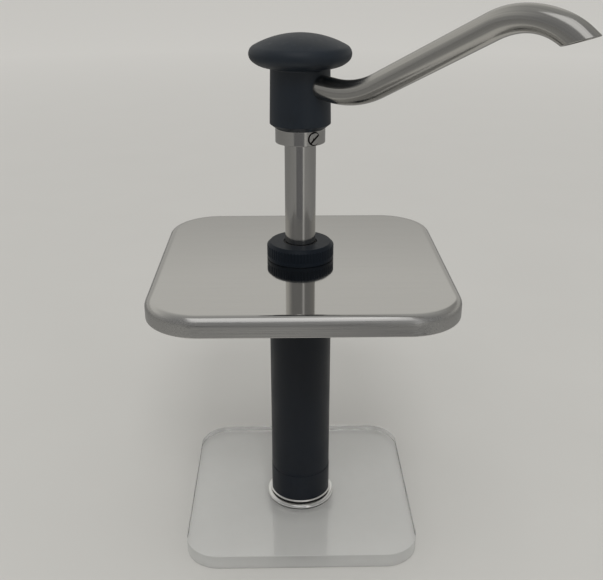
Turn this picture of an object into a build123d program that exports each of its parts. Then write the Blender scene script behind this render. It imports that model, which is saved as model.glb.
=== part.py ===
from build123d import *
from math import cos, pi, radians, sin, sqrt
import os

os.makedirs("parts", exist_ok=True)

# A press-top piston pump for oil or sauce. It hangs from a square cover plate, its foot stands
# in a clear block, and the whole plunger goes down with the knob and turns with the spout.
# Millimetres, +Z up, origin on the pump's axis at the underside of the block. -Y is the front.

# Clearances
running_gap = 0.05  # radial gap where one piece slides or turns in another
thread_gap = 0.08  # radial gap that stands for a screw thread
fit_gap = 0.03  # radial gap of pieces that are pressed or screwed tight
free_gap = 0.3  # gap where pieces only pass each other
ball_seat_gap = 0.05  # between a valve's ball and its cone

# Clear block that the pump stands in
block_side = 154.0
block_height = 10.0
block_corner_r = 23.0
block_front = 69.0  # from the pump's axis to the front edge
block_edge = 0.5
socket_floor = 3.0

# Barrel: bore, walls and lengths
barrel_bore_r = 15.0
neck_wall = 3.0
shoulder_step = 2.0
barrel_length = 153.1  # from its lower end to the shoulder under the cover plate
neck_edge = 0.6

# Steel foot collar with its two round beads
foot_collar_height = 6.6
flange_bead_overhang = 3.6
flange_bead_height = 3.9
upper_bead_overhang = 1.3
foot_groove_inset = 1.0
foot_groove_width = 1.2
bead_roundness = 0.44  # edge radius as a share of the bead's height

# Inlet spigot and valve housing
spigot_r = 10.5
spigot_bore_r = 6.0
spigot_clip_r = 14.0
spigot_clip_thickness = 2.5
spigot_reach = 16.0  # how far it goes up from the block's top
spigot_edge = 0.8
housing_overhang = 0.2
housing_skirt_height = 19.1
housing_skirt_edge = 0.4
housing_screw_wall = 2.0  # how much wider the screw is than the barrel's bore
housing_screw_height = 12.0

# Inlet valve
inlet_ball_r = 6.0
inlet_ball_lift = 3.0
inlet_seat_hole_r = 3.6
inlet_seat_land = 1.0
inlet_seat_thickness = 4.0
inlet_chamber_room = 2.0  # between the ball and its chamber
inlet_stop_ledge = 4.0
inlet_stop_thickness = 1.5
inlet_stop_holes = 6
inlet_stop_hole_r = 2.2
inlet_stop_pitch_r = 7.6

# Square cover plate
plate_side = 181.0
plate_front = 93.0  # from the pump's axis to the front edge
plate_shift_x = 0.8  # the hole lies a little off the plate's middle line
plate_height = 11.9
plate_corner_r = 33.4
plate_edge_r = 5.1
plate_sheet = 1.0
gasket_overhang = 2.5
gasket_thickness = 1.0

# Knurled cap nut on the barrel's neck, which clamps the plate and holds the sleeve down
nut_wall = 3.0
cap_nut_height = 10.6
cap_nut_roof = 2.0
cap_nut_chamfer = 2.0
nut_edge = 0.4
nut_foot_height = 2.6  # plain ring below the knurls
knurl_count = 64
knurl_depth = 0.35
knurl_groove_r = 0.6

# Plunger tube, with the sleeve and the wiper that it slides in
tube_r = 9.5
tube_wall = 1.0
sleeve_flange_inset = 0.6
sleeve_flange_thickness = 2.0
wiper_wall = 3.0
wiper_seat_depth = 3.0
wiper_lip_wall = 0.65
wiper_lip_sunk = 0.3  # below the nut's top
wiper_lip_edge = 0.3
cap_nut_hole_wall = 0.9

# Stroke, return spring, and the washer that lets the piston turn on the spring
stroke = 50.0
spring_wire_r = 1.0
spring_turns = 9
spring_reserve = 1.0  # room left between the stacked turns when the knob is down
spring_bore_gap = 0.5
washer_thickness = 2.0
washer_bore_r = 9.0
washer_spigot_depth = 4.0

# Piston and discharge valve
piston_gap = 0.08
piston_socket_depth = 10.0
piston_edge = 0.5
piston_ring_from_end = 4.5
discharge_ball_r = 5.0
discharge_ball_lift = 2.0
discharge_seat_hole_r = 3.4
discharge_seat_height = 3.0
discharge_chamber_room = 1.5
discharge_stop_thickness = 1.2
discharge_stop_holes = 6
discharge_stop_hole_r = 1.5
discharge_stop_pitch_r = 5.0

# Rubber rings of round section, and their grooves
ring_section_r = 0.6
ring_groove_room = 0.05
ring_groove_width = 1.5

# Steel hub under the knob, with its slotted screw
hub_room_below = 13.1  # between the cap nut and the hub when the knob is down
hub_collar_wall = 5.5
hub_collar_height = 8.7
hub_collar_edge = 0.4
hub_stem_wall = 3.0
hub_stem_height = 36.7
hub_stem_roof = 3.0
tube_in_hub = 12.7  # how far the tube goes in above the collar
tube_seal_in_hub = 6.1
screw_turn = -58.0
screw_above_edge = 4.35
screw_head_r = 3.5
screw_head_gap = 0.4  # between the head and its pocket
screw_head_thickness = 1.5
screw_head_sunk = 0.8
screw_head_edge = 0.4
screw_shank_r = 2.0
screw_slot_width = 1.0
screw_slot_depth = 0.8
screw_slot_turn = 40.0

# Knob: tapered neck and mushroom cap
knob_neck_wall = 5.8
knob_neck_taper = 0.7
knob_neck_height = 35.3
knob_foot_slope_width = 3.4  # the neck's foot slopes in to the hub's collar
knob_foot_slope_height = 2.6
knob_neck_root_r = 1.6
knob_cap_height = 18.8
knob_underside_flat = 1.9  # width of the flat between the neck and the cap's swell
knob_corner_reach = 31.9  # where dome and underside would meet if the rim were sharp
knob_corner_height = 9.1
knob_rim_r = 5.2

# Spout, in the upright plane through the pump's axis: (reach, height above its root)
spout_r = 7.0
spout_wall = 1.0
spout_turn = -45.0
spout_root_height = 26.6  # above the hub's collar
spout_first_bend = (43.3, -3.5)
spout_second_bend = (148.8, 51.0)
spout_end = (170.1, 35.5)
spout_bend_radii = (60.0, 42.5)
spout_start_inset = 0.1  # the tube's inner end stands back from the plunger tube's wall
spout_cut_rise = 18.6  # degrees by which the mouth's cut rises outwards
spout_cut_past = 10.0  # length swept past the end, for the cut to take off

# Radii that follow from the sizes above
neck_r = barrel_bore_r + neck_wall
barrel_r = neck_r + shoulder_step
nut_r = neck_r + nut_wall
nut_bore_r = neck_r + thread_gap
housing_screw_r = barrel_bore_r + housing_screw_wall
inlet_chamber_r = inlet_ball_r + inlet_chamber_room
inlet_stop_r = inlet_chamber_r + inlet_stop_ledge
discharge_chamber_r = discharge_ball_r + discharge_chamber_room
piston_r = barrel_bore_r - piston_gap
spring_mean_r = barrel_bore_r - spring_bore_gap - spring_wire_r
washer_spigot_r = spring_mean_r - spring_wire_r - free_gap
wiper_r = tube_r + wiper_wall
hub_collar_r = tube_r + hub_collar_wall
hub_stem_r = tube_r + hub_stem_wall
knob_neck_bottom_r = hub_stem_r + knob_neck_wall
knob_neck_top_r = knob_neck_bottom_r - knob_neck_taper
knob_foot_r = knob_neck_bottom_r - knob_foot_slope_width

# Heights that follow from the sizes above, from the block's underside upwards
block_top = block_height
clip_bottom = block_top + free_gap
clip_top = clip_bottom + spigot_clip_thickness
groove_bottom = block_top + flange_bead_height
groove_top = groove_bottom + foot_groove_width
collar_top = block_top + foot_collar_height
barrel_bottom = collar_top + housing_skirt_height
spring_seat = barrel_bottom + housing_screw_height
gasket_bottom = barrel_bottom + barrel_length
plate_top = gasket_bottom + gasket_thickness + plate_sheet
plate_bottom = plate_top - plate_height
cap_nut_bottom = plate_top + running_gap
cap_nut_top = cap_nut_bottom + cap_nut_height
sleeve_top = cap_nut_top - cap_nut_roof
neck_top = sleeve_top - sleeve_flange_thickness
wiper_top = cap_nut_top - wiper_lip_sunk
hub_bottom = cap_nut_top + hub_room_below + stroke
hub_collar_top = hub_bottom + hub_collar_height
hub_top = hub_collar_top + hub_stem_height
tube_top = hub_collar_top + tube_in_hub
tube_seal_height = hub_collar_top + tube_seal_in_hub
cap_underside = hub_collar_top + knob_neck_height
knob_top = cap_underside + knob_cap_height

# The spring is as long as the stroke and its own stacked turns, and carries washer and piston
spring_stacked = (spring_turns + 1) * 2 * spring_wire_r
spring_height = stroke + spring_stacked + spring_reserve
washer_bottom = spring_seat + spring_height
piston_bottom = washer_bottom + washer_thickness


def resting_ball_height(cone_bottom, hole_r, ball_r):
    """Centre of a ball in a seat whose cone opens at 45 degrees from a round hole."""
    return cone_bottom - hole_r + sqrt(2) * (ball_r + ball_seat_gap)


# Valves: seat, ball at rest, and the disc that stops the ball
spigot_top = block_top + spigot_reach
inlet_seat_top = spigot_top + inlet_seat_thickness
inlet_cone_bottom = spigot_top + inlet_seat_land
inlet_ball_height = resting_ball_height(inlet_cone_bottom, inlet_seat_hole_r, inlet_ball_r)
inlet_stop_bottom = inlet_ball_height + inlet_ball_r + inlet_ball_lift + free_gap
discharge_cone_bottom = piston_bottom + discharge_seat_height
discharge_cone_top = discharge_cone_bottom + discharge_chamber_r - discharge_seat_hole_r
discharge_ball_height = resting_ball_height(
    discharge_cone_bottom, discharge_seat_hole_r, discharge_ball_r
)
discharge_stop_bottom = discharge_ball_height + discharge_ball_r + discharge_ball_lift + free_gap
tube_bottom = discharge_stop_bottom + discharge_stop_thickness
piston_top = tube_bottom + piston_socket_depth
sleeve_bottom = piston_top + free_gap


def disc(radius, bottom, top, mode=Mode.ADD):
    """Add or cut a round disc between two heights."""
    with BuildSketch(Plane.XY.offset(bottom)) as profile:
        Circle(radius)
    extrude(profile.sketch, amount=top - bottom, mode=mode)


def turned(outline, mode=Mode.ADD):
    """Add or cut what a closed outline of (radius, height) points sweeps about the axis."""
    with BuildSketch(Plane.XZ) as profile:
        with BuildLine():
            Polyline(*outline, close=True)
        make_face()
    revolve(profile.sketch, axis=Axis.Z, mode=mode)


def pierced(pitch_r, hole_r, count, bottom, top):
    """Cut a circle of holes between two heights."""
    with BuildSketch(Plane.XY.offset(bottom)) as holes:
        with PolarLocations(pitch_r, count):
            Circle(hole_r)
    extrude(holes.sketch, amount=top - bottom, mode=Mode.SUBTRACT)


def rim(part, radius, height):
    """The round edge of a part at a radius and a height."""
    rings = part.edges().filter_by(GeomType.CIRCLE)
    return rings.filter_by(
        lambda edge: abs(edge.radius - radius) < free_gap / 10
        and abs(edge.center().Z - height) < free_gap / 10
    )


def rubber_ring(centre_r, height):
    """One rubber ring of round section."""
    with BuildSketch(Plane.XZ) as section:
        with Locations((centre_r, height)):
            Circle(ring_section_r)
    revolve(section.sketch, axis=Axis.Z)


def ring_groove(wall_r, height):
    """Cut the groove of a rubber ring in an outer wall."""
    floor_r = wall_r - 2 * ring_section_r - ring_groove_room
    low, high = height - ring_groove_width / 2, height + ring_groove_width / 2
    turned([(floor_r, low), (wall_r + 1, low), (wall_r + 1, high), (floor_r, high)], Mode.SUBTRACT)


def grooved_ring_r(wall_r):
    """Middle radius of the rubber ring in such a groove."""
    return wall_r - ring_section_r - ring_groove_room / 2


def finish(builder, name):
    """Name a piece and write it to its own file."""
    builder.part.label = name
    export_step(builder.part, f"parts/{name}.step")


# Clear block with a blind socket for the inlet spigot
with BuildPart() as stand_block:
    with BuildSketch(Plane.XY):
        with Locations((0, block_side / 2 - block_front)):
            RectangleRounded(block_side, block_side, block_corner_r)
    extrude(amount=block_height)
    chamfer(stand_block.faces().filter_by(Axis.Z).edges(), length=block_edge)
    disc(spigot_r + free_gap, socket_floor, block_top, Mode.SUBTRACT)
finish(stand_block, "stand_block")

# Steel foot collar: two round beads with a groove between, hollowed below for the clip ring
flange_bead_r = barrel_r + flange_bead_overhang
upper_bead_r = barrel_r + upper_bead_overhang
foot_groove_r = barrel_r - foot_groove_inset
with BuildPart() as foot_collar:
    disc(flange_bead_r, block_top, groove_bottom)
    disc(foot_groove_r, groove_bottom, groove_top)
    disc(upper_bead_r, groove_top, collar_top)
    for bead_r, low, high in (
        (flange_bead_r, block_top, groove_bottom),
        (upper_bead_r, groove_top, collar_top),
    ):
        fillet(rim(foot_collar, bead_r, low) + rim(foot_collar, bead_r, high),
               radius=bead_roundness * (high - low))
    disc(spigot_r + fit_gap, block_top, collar_top, Mode.SUBTRACT)
    disc(spigot_clip_r + free_gap, block_top, clip_top, Mode.SUBTRACT)
finish(foot_collar, "foot_collar")

# Rubber ring in the groove between the beads
with BuildPart() as foot_seal:
    rubber_ring(foot_groove_r + ring_section_r, (groove_bottom + groove_top) / 2)
finish(foot_seal, "foot_seal")

# Inlet spigot: a hollow screw whose clip ring holds the foot collar to the housing
with BuildPart() as inlet_spigot:
    disc(spigot_r, socket_floor + free_gap, spigot_top)
    disc(spigot_clip_r, clip_bottom, clip_top)
    chamfer(rim(inlet_spigot, spigot_r, socket_floor + free_gap), length=spigot_edge)
    disc(spigot_bore_r, socket_floor, spigot_top, Mode.SUBTRACT)
finish(inlet_spigot, "inlet_spigot")

# Seat ring of the inlet valve, coned at 45 degrees for the ball
with BuildPart() as inlet_seat:
    turned(
        [
            (inlet_seat_hole_r, spigot_top),
            (spigot_r, spigot_top),
            (spigot_r, inlet_seat_top),
            (inlet_seat_hole_r + inlet_seat_top - inlet_cone_bottom, inlet_seat_top),
            (inlet_seat_hole_r, inlet_cone_bottom),
        ]
    )
finish(inlet_seat, "inlet_seat")

# Ball of the inlet valve
with BuildPart() as inlet_ball:
    with Locations((0, 0, inlet_ball_height)):
        Sphere(inlet_ball_r)
finish(inlet_ball, "inlet_ball")

# Valve housing: the barrel's lower end, with a screw that goes up inside the barrel
housing_seal_height = barrel_bottom + housing_screw_height / 2
housing_wall_r = housing_screw_r - fit_gap
with BuildPart() as valve_housing:
    disc(barrel_r + housing_overhang, collar_top, barrel_bottom)
    chamfer(rim(valve_housing, barrel_r + housing_overhang, barrel_bottom), length=housing_skirt_edge)
    disc(housing_wall_r, barrel_bottom, spring_seat)
    disc(spigot_r + fit_gap, collar_top, inlet_seat_top, Mode.SUBTRACT)
    disc(inlet_chamber_r, inlet_seat_top, spring_seat, Mode.SUBTRACT)
    disc(inlet_stop_r + fit_gap, inlet_stop_bottom, spring_seat, Mode.SUBTRACT)
    ring_groove(housing_wall_r, housing_seal_height)
finish(valve_housing, "valve_housing")

# Rubber ring between the housing and the barrel
with BuildPart() as housing_seal:
    rubber_ring(grooved_ring_r(housing_wall_r), housing_seal_height)
finish(housing_seal, "housing_seal")

# Pierced disc that stops the inlet ball
with BuildPart() as inlet_ball_stop:
    stop_top = inlet_stop_bottom + inlet_stop_thickness
    disc(inlet_stop_r, inlet_stop_bottom, stop_top)
    pierced(inlet_stop_pitch_r, inlet_stop_hole_r, inlet_stop_holes, inlet_stop_bottom, stop_top)
finish(inlet_ball_stop, "inlet_ball_stop")

# Barrel: a thick tube with a shoulder under the plate and a screwed neck above it
with BuildPart() as barrel:
    disc(barrel_r, barrel_bottom, gasket_bottom)
    disc(neck_r, gasket_bottom, neck_top)
    chamfer(rim(barrel, neck_r, neck_top), length=neck_edge)
    disc(barrel_bore_r, barrel_bottom, neck_top, Mode.SUBTRACT)
    disc(housing_screw_r, barrel_bottom, spring_seat, Mode.SUBTRACT)
finish(barrel, "barrel")

# Middle line of the return spring: a helix of quarter turns, each made of two tangent arcs
helix_bottom = spring_seat + spring_wire_r
helix_pitch = (spring_height - 2 * spring_wire_r) / spring_turns
quarters = 4 * spring_turns


def helix_point(turns):
    """Point on the spring's middle line after so many turns."""
    angle = 2 * pi * turns
    height = helix_bottom + helix_pitch * turns
    return Vector(spring_mean_r * cos(angle), spring_mean_r * sin(angle), height)


def helix_heading(turns):
    """Direction of the spring's middle line there."""
    angle = 2 * pi * turns
    around = 2 * pi * spring_mean_r
    return Vector(-around * sin(angle), around * cos(angle), helix_pitch).normalized()


def arc_meeting(start, start_heading, end, end_heading):
    """Where two equal arcs meet that join two points along their headings, and the heading."""
    chord = end - start
    both = start_heading + end_heading
    square = 4 - both.dot(both)
    slope = chord.dot(both)
    handle = (sqrt(slope**2 + square * chord.dot(chord)) - slope) / square
    first, second = start + start_heading * handle, end - end_heading * handle
    return (first + second) * 0.5, (second - first).normalized()


# Return spring, one steel wire
with BuildPart() as return_spring:
    with BuildLine() as spring_line:
        for quarter in range(quarters):
            here, there = quarter / 4, (quarter + 1) / 4
            meeting, heading = arc_meeting(
                helix_point(here), helix_heading(here), helix_point(there), helix_heading(there)
            )
            TangentArc(helix_point(here), meeting, tangent=helix_heading(here))
            TangentArc(meeting, helix_point(there), tangent=heading)
    with BuildSketch(Plane(origin=helix_point(0), z_dir=helix_heading(0))):
        Circle(spring_wire_r)
    sweep(path=spring_line.wires()[0])
finish(return_spring, "return_spring")
wire_length = spring_turns * sqrt((2 * pi * spring_mean_r) ** 2 + helix_pitch**2)
print("spring volume", round(return_spring.part.volume, 1))
print("wire section x length", round(pi * spring_wire_r**2 * wire_length, 1))
print("gap between its turns", round(helix_pitch - 2 * spring_wire_r, 2))

# Washer on top of the spring
with BuildPart() as spring_washer:
    spigot_bottom = washer_bottom - washer_spigot_depth
    disc(barrel_bore_r - free_gap, washer_bottom, piston_bottom)
    disc(washer_spigot_r, spigot_bottom, washer_bottom)
    disc(washer_bore_r, spigot_bottom, piston_bottom, Mode.SUBTRACT)
finish(spring_washer, "spring_washer")

# Piston: seat and chamber of the discharge valve below, socket for the plunger tube above
piston_ring_heights = (piston_bottom + piston_ring_from_end, piston_top - piston_ring_from_end)
with BuildPart() as piston:
    disc(piston_r, piston_bottom, piston_top)
    chamfer(rim(piston, piston_r, piston_bottom) + rim(piston, piston_r, piston_top),
            length=piston_edge)
    turned(
        [
            (0, piston_bottom),
            (discharge_seat_hole_r, piston_bottom),
            (discharge_seat_hole_r, discharge_cone_bottom),
            (discharge_chamber_r, discharge_cone_top),
            (discharge_chamber_r, discharge_stop_bottom),
            (tube_r + fit_gap, discharge_stop_bottom),
            (tube_r + fit_gap, piston_top),
            (0, piston_top),
        ],
        Mode.SUBTRACT,
    )
    for ring_height in piston_ring_heights:
        ring_groove(piston_r, ring_height)
finish(piston, "piston")

# The piston's rubber rings
with BuildPart() as piston_rings:
    for ring_height in piston_ring_heights:
        rubber_ring(grooved_ring_r(piston_r), ring_height)
finish(piston_rings, "piston_rings")

# Ball of the discharge valve
with BuildPart() as discharge_ball:
    with Locations((0, 0, discharge_ball_height)):
        Sphere(discharge_ball_r)
finish(discharge_ball, "discharge_ball")

# Pierced disc under the plunger tube that stops the discharge ball
with BuildPart() as discharge_ball_stop:
    disc(tube_r, discharge_stop_bottom, tube_bottom)
    pierced(discharge_stop_pitch_r, discharge_stop_hole_r, discharge_stop_holes,
            discharge_stop_bottom, tube_bottom)
finish(discharge_ball_stop, "discharge_ball_stop")

# Plunger tube, the hollow rod that carries the liquid up to the knob
with BuildPart() as plunger_tube:
    disc(tube_r, tube_bottom, tube_top)
    disc(tube_r - tube_wall, tube_bottom, tube_top, Mode.SUBTRACT)
finish(plunger_tube, "plunger_tube")

# Guide sleeve: a long bush in the barrel's bore with a flange on the barrel's mouth
with BuildPart() as guide_sleeve:
    disc(barrel_bore_r - running_gap, sleeve_bottom, neck_top)
    disc(neck_r - sleeve_flange_inset, neck_top, sleeve_top)
    disc(tube_r + running_gap, sleeve_bottom, sleeve_top, Mode.SUBTRACT)
    disc(wiper_r, sleeve_top - wiper_seat_depth, sleeve_top, Mode.SUBTRACT)
finish(guide_sleeve, "guide_sleeve")

# Wiper seal in the sleeve's mouth, whose lip shows around the tube in the cap nut's hole
with BuildPart() as wiper_seal:
    disc(wiper_r - fit_gap, sleeve_top - wiper_seat_depth, sleeve_top - fit_gap)
    disc(tube_r + wiper_lip_wall, sleeve_top - fit_gap, wiper_top)
    chamfer(rim(wiper_seal, tube_r + wiper_lip_wall, wiper_top), length=wiper_lip_edge)
    disc(tube_r + running_gap, sleeve_bottom, wiper_top, Mode.SUBTRACT)
finish(wiper_seal, "wiper_seal")

# Cap nut over the sleeve's flange, screwed on the barrel's neck down to the plate
knurl_pitch_r = nut_r - knurl_depth + knurl_groove_r
cap_nut_hole_r = tube_r + cap_nut_hole_wall
with BuildPart() as cap_nut:
    turned(
        [
            (nut_bore_r, cap_nut_bottom),
            (nut_r - nut_edge, cap_nut_bottom),
            (nut_r, cap_nut_bottom + nut_edge),
            (nut_r, cap_nut_top - cap_nut_chamfer),
            (nut_r - cap_nut_chamfer, cap_nut_top),
            (cap_nut_hole_r, cap_nut_top),
            (cap_nut_hole_r, sleeve_top),
            (nut_bore_r, sleeve_top),
        ]
    )
    knurl_bottom = cap_nut_bottom + nut_foot_height
    pierced(knurl_pitch_r, knurl_groove_r, knurl_count, knurl_bottom, cap_nut_top)
finish(cap_nut, "cap_nut")

# Rubber gasket between the barrel's shoulder and the plate
with BuildPart() as plate_gasket:
    disc(barrel_r + gasket_overhang, gasket_bottom, plate_top - plate_sheet)
    disc(neck_r + free_gap, gasket_bottom, plate_top - plate_sheet, Mode.SUBTRACT)
finish(plate_gasket, "plate_gasket")

# Cover plate: a square tray of sheet steel, upside down, with the pump's hole at its middle
with BuildPart() as cover_plate:
    with BuildSketch(Plane.XY.offset(plate_bottom)):
        with Locations((plate_shift_x, plate_side / 2 - plate_front)):
            RectangleRounded(plate_side, plate_side, plate_corner_r)
    extrude(amount=plate_height)
    fillet(cover_plate.faces().sort_by(Axis.Z)[-1].edges(), radius=plate_edge_r)
    underside = cover_plate.faces().sort_by(Axis.Z)[0]
    offset(amount=-plate_sheet, openings=underside)
    disc(neck_r + free_gap, plate_bottom, plate_top, Mode.SUBTRACT)
finish(cover_plate, "cover_plate")

# Middle line of the spout: out of the hub, up a gentle slope, and down again at the end
spout_out = Vector(cos(radians(spout_turn)), sin(radians(spout_turn)), 0)
spout_side = spout_out.cross(Vector(0, 0, 1))
spout_plane = Plane(
    origin=(0, 0, hub_collar_top + spout_root_height), x_dir=spout_out, z_dir=spout_side
)
spout_start_reach = tube_r - spout_start_inset
spout_start = (spout_start_reach, spout_first_bend[1] * spout_start_reach / spout_first_bend[0])
end_heading = (Vector(*spout_end) - Vector(*spout_second_bend)).normalized()
past_end = Vector(*spout_end) + end_heading * spout_cut_past
with BuildLine(spout_plane) as spout_line:
    FilletPolyline(
        spout_start,
        spout_first_bend,
        spout_second_bend,
        (past_end.X, past_end.Y),
        radius=spout_bend_radii,
    )
spout_path = spout_line.wires()[0]
root_plane = Plane(origin=spout_path @ 0, z_dir=spout_path % 0)
cut_along = spout_out * cos(radians(spout_cut_rise)) + Vector(0, 0, sin(radians(spout_cut_rise)))
cut_plane = Plane(
    origin=spout_plane.from_local_coords(Vector(*spout_end)),
    x_dir=cut_along,
    z_dir=cut_along.cross(spout_side),
)

# Spout: one bent steel tube, cut slantwise at its mouth
with BuildPart() as spout:
    with BuildSketch(root_plane):
        Circle(spout_r)
        Circle(spout_r - spout_wall, mode=Mode.SUBTRACT)
    sweep(path=spout_path)
    print("spout volume", round(spout.part.volume, 1))
    with BuildSketch(cut_plane):
        Rectangle(6 * spout_r, 4 * spout_r)
    extrude(amount=2 * spout_cut_past, mode=Mode.SUBTRACT)
finish(spout, "spout")
spout_section = pi * (spout_r**2 - (spout_r - spout_wall) ** 2)
print("spout section x length", round(spout_section * spout_path.length, 1))

# Plane under the screw's head, square to the radius that the screw lies on
screw_out = Vector(cos(radians(screw_turn)), sin(radians(screw_turn)), 0)
screw_seat_reach = hub_collar_r - screw_head_sunk
screw_seat = Plane(
    origin=screw_out * screw_seat_reach + Vector(0, 0, hub_bottom + screw_above_edge),
    x_dir=Vector(0, 0, 1).cross(screw_out),
    z_dir=screw_out,
)

# Steel hub: the bright collar under the knob, and a stem inside it that joins tube and spout
with BuildPart() as spout_hub:
    disc(hub_collar_r, hub_bottom, hub_collar_top)
    fillet(rim(spout_hub, hub_collar_r, hub_bottom) + rim(spout_hub, hub_collar_r, hub_collar_top),
           radius=hub_collar_edge)
    disc(hub_stem_r, hub_collar_top, hub_top)
    disc(tube_r + fit_gap, hub_bottom, tube_top, Mode.SUBTRACT)
    disc(tube_r - tube_wall, tube_top, hub_top - hub_stem_roof, Mode.SUBTRACT)
    disc(tube_r + fit_gap + 2 * ring_section_r, tube_seal_height - ring_section_r,
         tube_seal_height + ring_section_r, Mode.SUBTRACT)
    with BuildSketch(root_plane):
        Circle(spout_r + fit_gap)
    extrude(amount=hub_stem_r, mode=Mode.SUBTRACT)
    with BuildSketch(root_plane):
        Circle(spout_r - spout_wall)
    extrude(amount=-spout_start_reach, mode=Mode.SUBTRACT)
    with BuildSketch(screw_seat):
        Circle(screw_head_r + screw_head_gap)
    extrude(amount=hub_collar_r, mode=Mode.SUBTRACT)
    with BuildSketch(screw_seat):
        Circle(screw_shank_r + fit_gap)
    extrude(amount=tube_r - screw_seat_reach, mode=Mode.SUBTRACT)
finish(spout_hub, "spout_hub")

# Slotted screw in the hub, which bears on the tube
with BuildPart() as hub_screw:
    with BuildSketch(screw_seat):
        Circle(screw_head_r)
    extrude(amount=screw_head_thickness)
    head_face = hub_screw.faces().sort_by(Axis(screw_seat.origin, screw_out))[-1]
    fillet(head_face.edges(), radius=screw_head_edge)
    with BuildSketch(screw_seat.offset(screw_head_thickness).rotated((0, 0, screw_slot_turn))):
        Rectangle(3 * screw_head_r, screw_slot_width)
    extrude(amount=-screw_slot_depth, mode=Mode.SUBTRACT)
    with BuildSketch(screw_seat):
        Circle(screw_shank_r)
    extrude(amount=tube_r + 2 * fit_gap - screw_seat_reach)
finish(hub_screw, "hub_screw")

# Rubber ring around the tube inside the hub
with BuildPart() as tube_seal:
    rubber_ring(tube_r + fit_gap + ring_section_r, tube_seal_height)
finish(tube_seal, "tube_seal")

# Knob: tapered neck and mushroom cap in one moulding, hollow for the hub's stem
cap_root = (knob_neck_top_r + knob_underside_flat, cap_underside)
cap_corner = (knob_corner_reach, cap_underside + knob_corner_height)
with BuildPart() as knob:
    with BuildSketch(Plane.XZ) as knob_half:
        with BuildLine():
            TangentArc((0, knob_top), cap_corner, tangent=(1, 0))
            TangentArc(cap_root, cap_corner, tangent=(1, 0))
            Polyline(
                cap_root,
                (knob_neck_top_r, cap_underside),
                (knob_neck_bottom_r, hub_collar_top + knob_foot_slope_height),
                (knob_foot_r, hub_collar_top),
                (0, hub_collar_top),
                (0, knob_top),
            )
        make_face()
        for corner, roundness in (
            (cap_corner, knob_rim_r),
            ((knob_neck_top_r, cap_underside), knob_neck_root_r),
        ):
            fillet(knob_half.vertices().sort_by_distance(corner)[0], radius=roundness)
    revolve(axis=Axis.Z)
    disc(hub_stem_r + fit_gap, hub_collar_top, hub_top + fit_gap, Mode.SUBTRACT)
    with BuildSketch(root_plane):
        Circle(spout_r + fit_gap)
    extrude(amount=knob_neck_bottom_r, mode=Mode.SUBTRACT)
finish(knob, "knob")
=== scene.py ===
"""Press-top dispenser pump for oil or sauce: its visible pieces, their finishes and its studio.

Lengths are in metres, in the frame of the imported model, whose Z axis is the pump's axis.
"""

from math import acos, atan2, ceil, cos, pi, radians, sin, sqrt, tan, tau

import bmesh
import bpy
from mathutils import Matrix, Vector


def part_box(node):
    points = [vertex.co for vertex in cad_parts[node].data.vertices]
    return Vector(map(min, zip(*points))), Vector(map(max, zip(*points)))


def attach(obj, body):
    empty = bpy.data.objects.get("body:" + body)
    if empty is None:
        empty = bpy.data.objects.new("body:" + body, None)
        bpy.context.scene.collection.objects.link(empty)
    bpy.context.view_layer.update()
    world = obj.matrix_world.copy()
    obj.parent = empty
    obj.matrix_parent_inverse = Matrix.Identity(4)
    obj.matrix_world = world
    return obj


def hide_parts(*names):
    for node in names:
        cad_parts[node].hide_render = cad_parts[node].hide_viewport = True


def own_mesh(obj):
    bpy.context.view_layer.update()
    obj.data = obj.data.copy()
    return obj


bl_info = {
    "name": "Press-Top Dispenser Pump",
    "version": (1, 0, 0),
    "blender": (4, 5, 0),
    "location": "3D View > Sidebar > Dispenser Pump",
    "description": "Builds a press-top pump for oil or sauce, with its finishes and a small studio",
    "category": "Add Mesh",
}

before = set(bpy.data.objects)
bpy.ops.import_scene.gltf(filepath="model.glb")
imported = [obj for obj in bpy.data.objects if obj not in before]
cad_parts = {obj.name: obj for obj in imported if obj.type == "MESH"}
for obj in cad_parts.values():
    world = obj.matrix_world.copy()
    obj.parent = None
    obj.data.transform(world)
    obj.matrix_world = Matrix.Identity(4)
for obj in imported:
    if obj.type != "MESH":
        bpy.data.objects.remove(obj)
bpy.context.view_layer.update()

# Radii of edges that are left sharp, and of edges that are just eased
CRISP, EASED = 0.0001, 0.0002
# Radius of the bore round the inlet spigot, in the foot collar and in the valve housing
SPIGOT_BORE = 0.01053
# Direction of the hub's screw round the axis, and of the slot across its head
SCREW_TURN, SLOT_TURN = radians(-58), radians(40)


def reach(node):
    """Largest distance of a round node's wall from the pump's axis."""
    low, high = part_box(node)
    return (high.y - low.y) / 2


def foot_of(node):
    """Height of a node's lowest point."""
    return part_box(node)[0].z


def head_of(node):
    """Height of a node's highest point."""
    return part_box(node)[1].z


# Sizes and colours that a user would change


def length(label, text, default):
    """A size in metres."""
    return bpy.props.FloatProperty(
        name=label, description=text, default=default, min=0.0, precision=5, unit="LENGTH"
    )


def count(label, text, default, least):
    """A whole number."""
    return bpy.props.IntProperty(name=label, description=text, default=default, min=least)


def angle(label, text, degrees):
    """An angle, given in degrees."""
    return bpy.props.FloatProperty(
        name=label, description=text, default=radians(degrees), unit="ROTATION"
    )


def tint(label, text, default):
    """A colour, in linear light."""
    return bpy.props.FloatVectorProperty(
        name=label, description=text, default=default, min=0.0, max=1.0, subtype="COLOR", size=3
    )


def share(label, text, default):
    """A share between 0 and 1."""
    return bpy.props.FloatProperty(
        name=label, description=text, default=default, min=0.0, max=1.0, subtype="FACTOR"
    )


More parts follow.
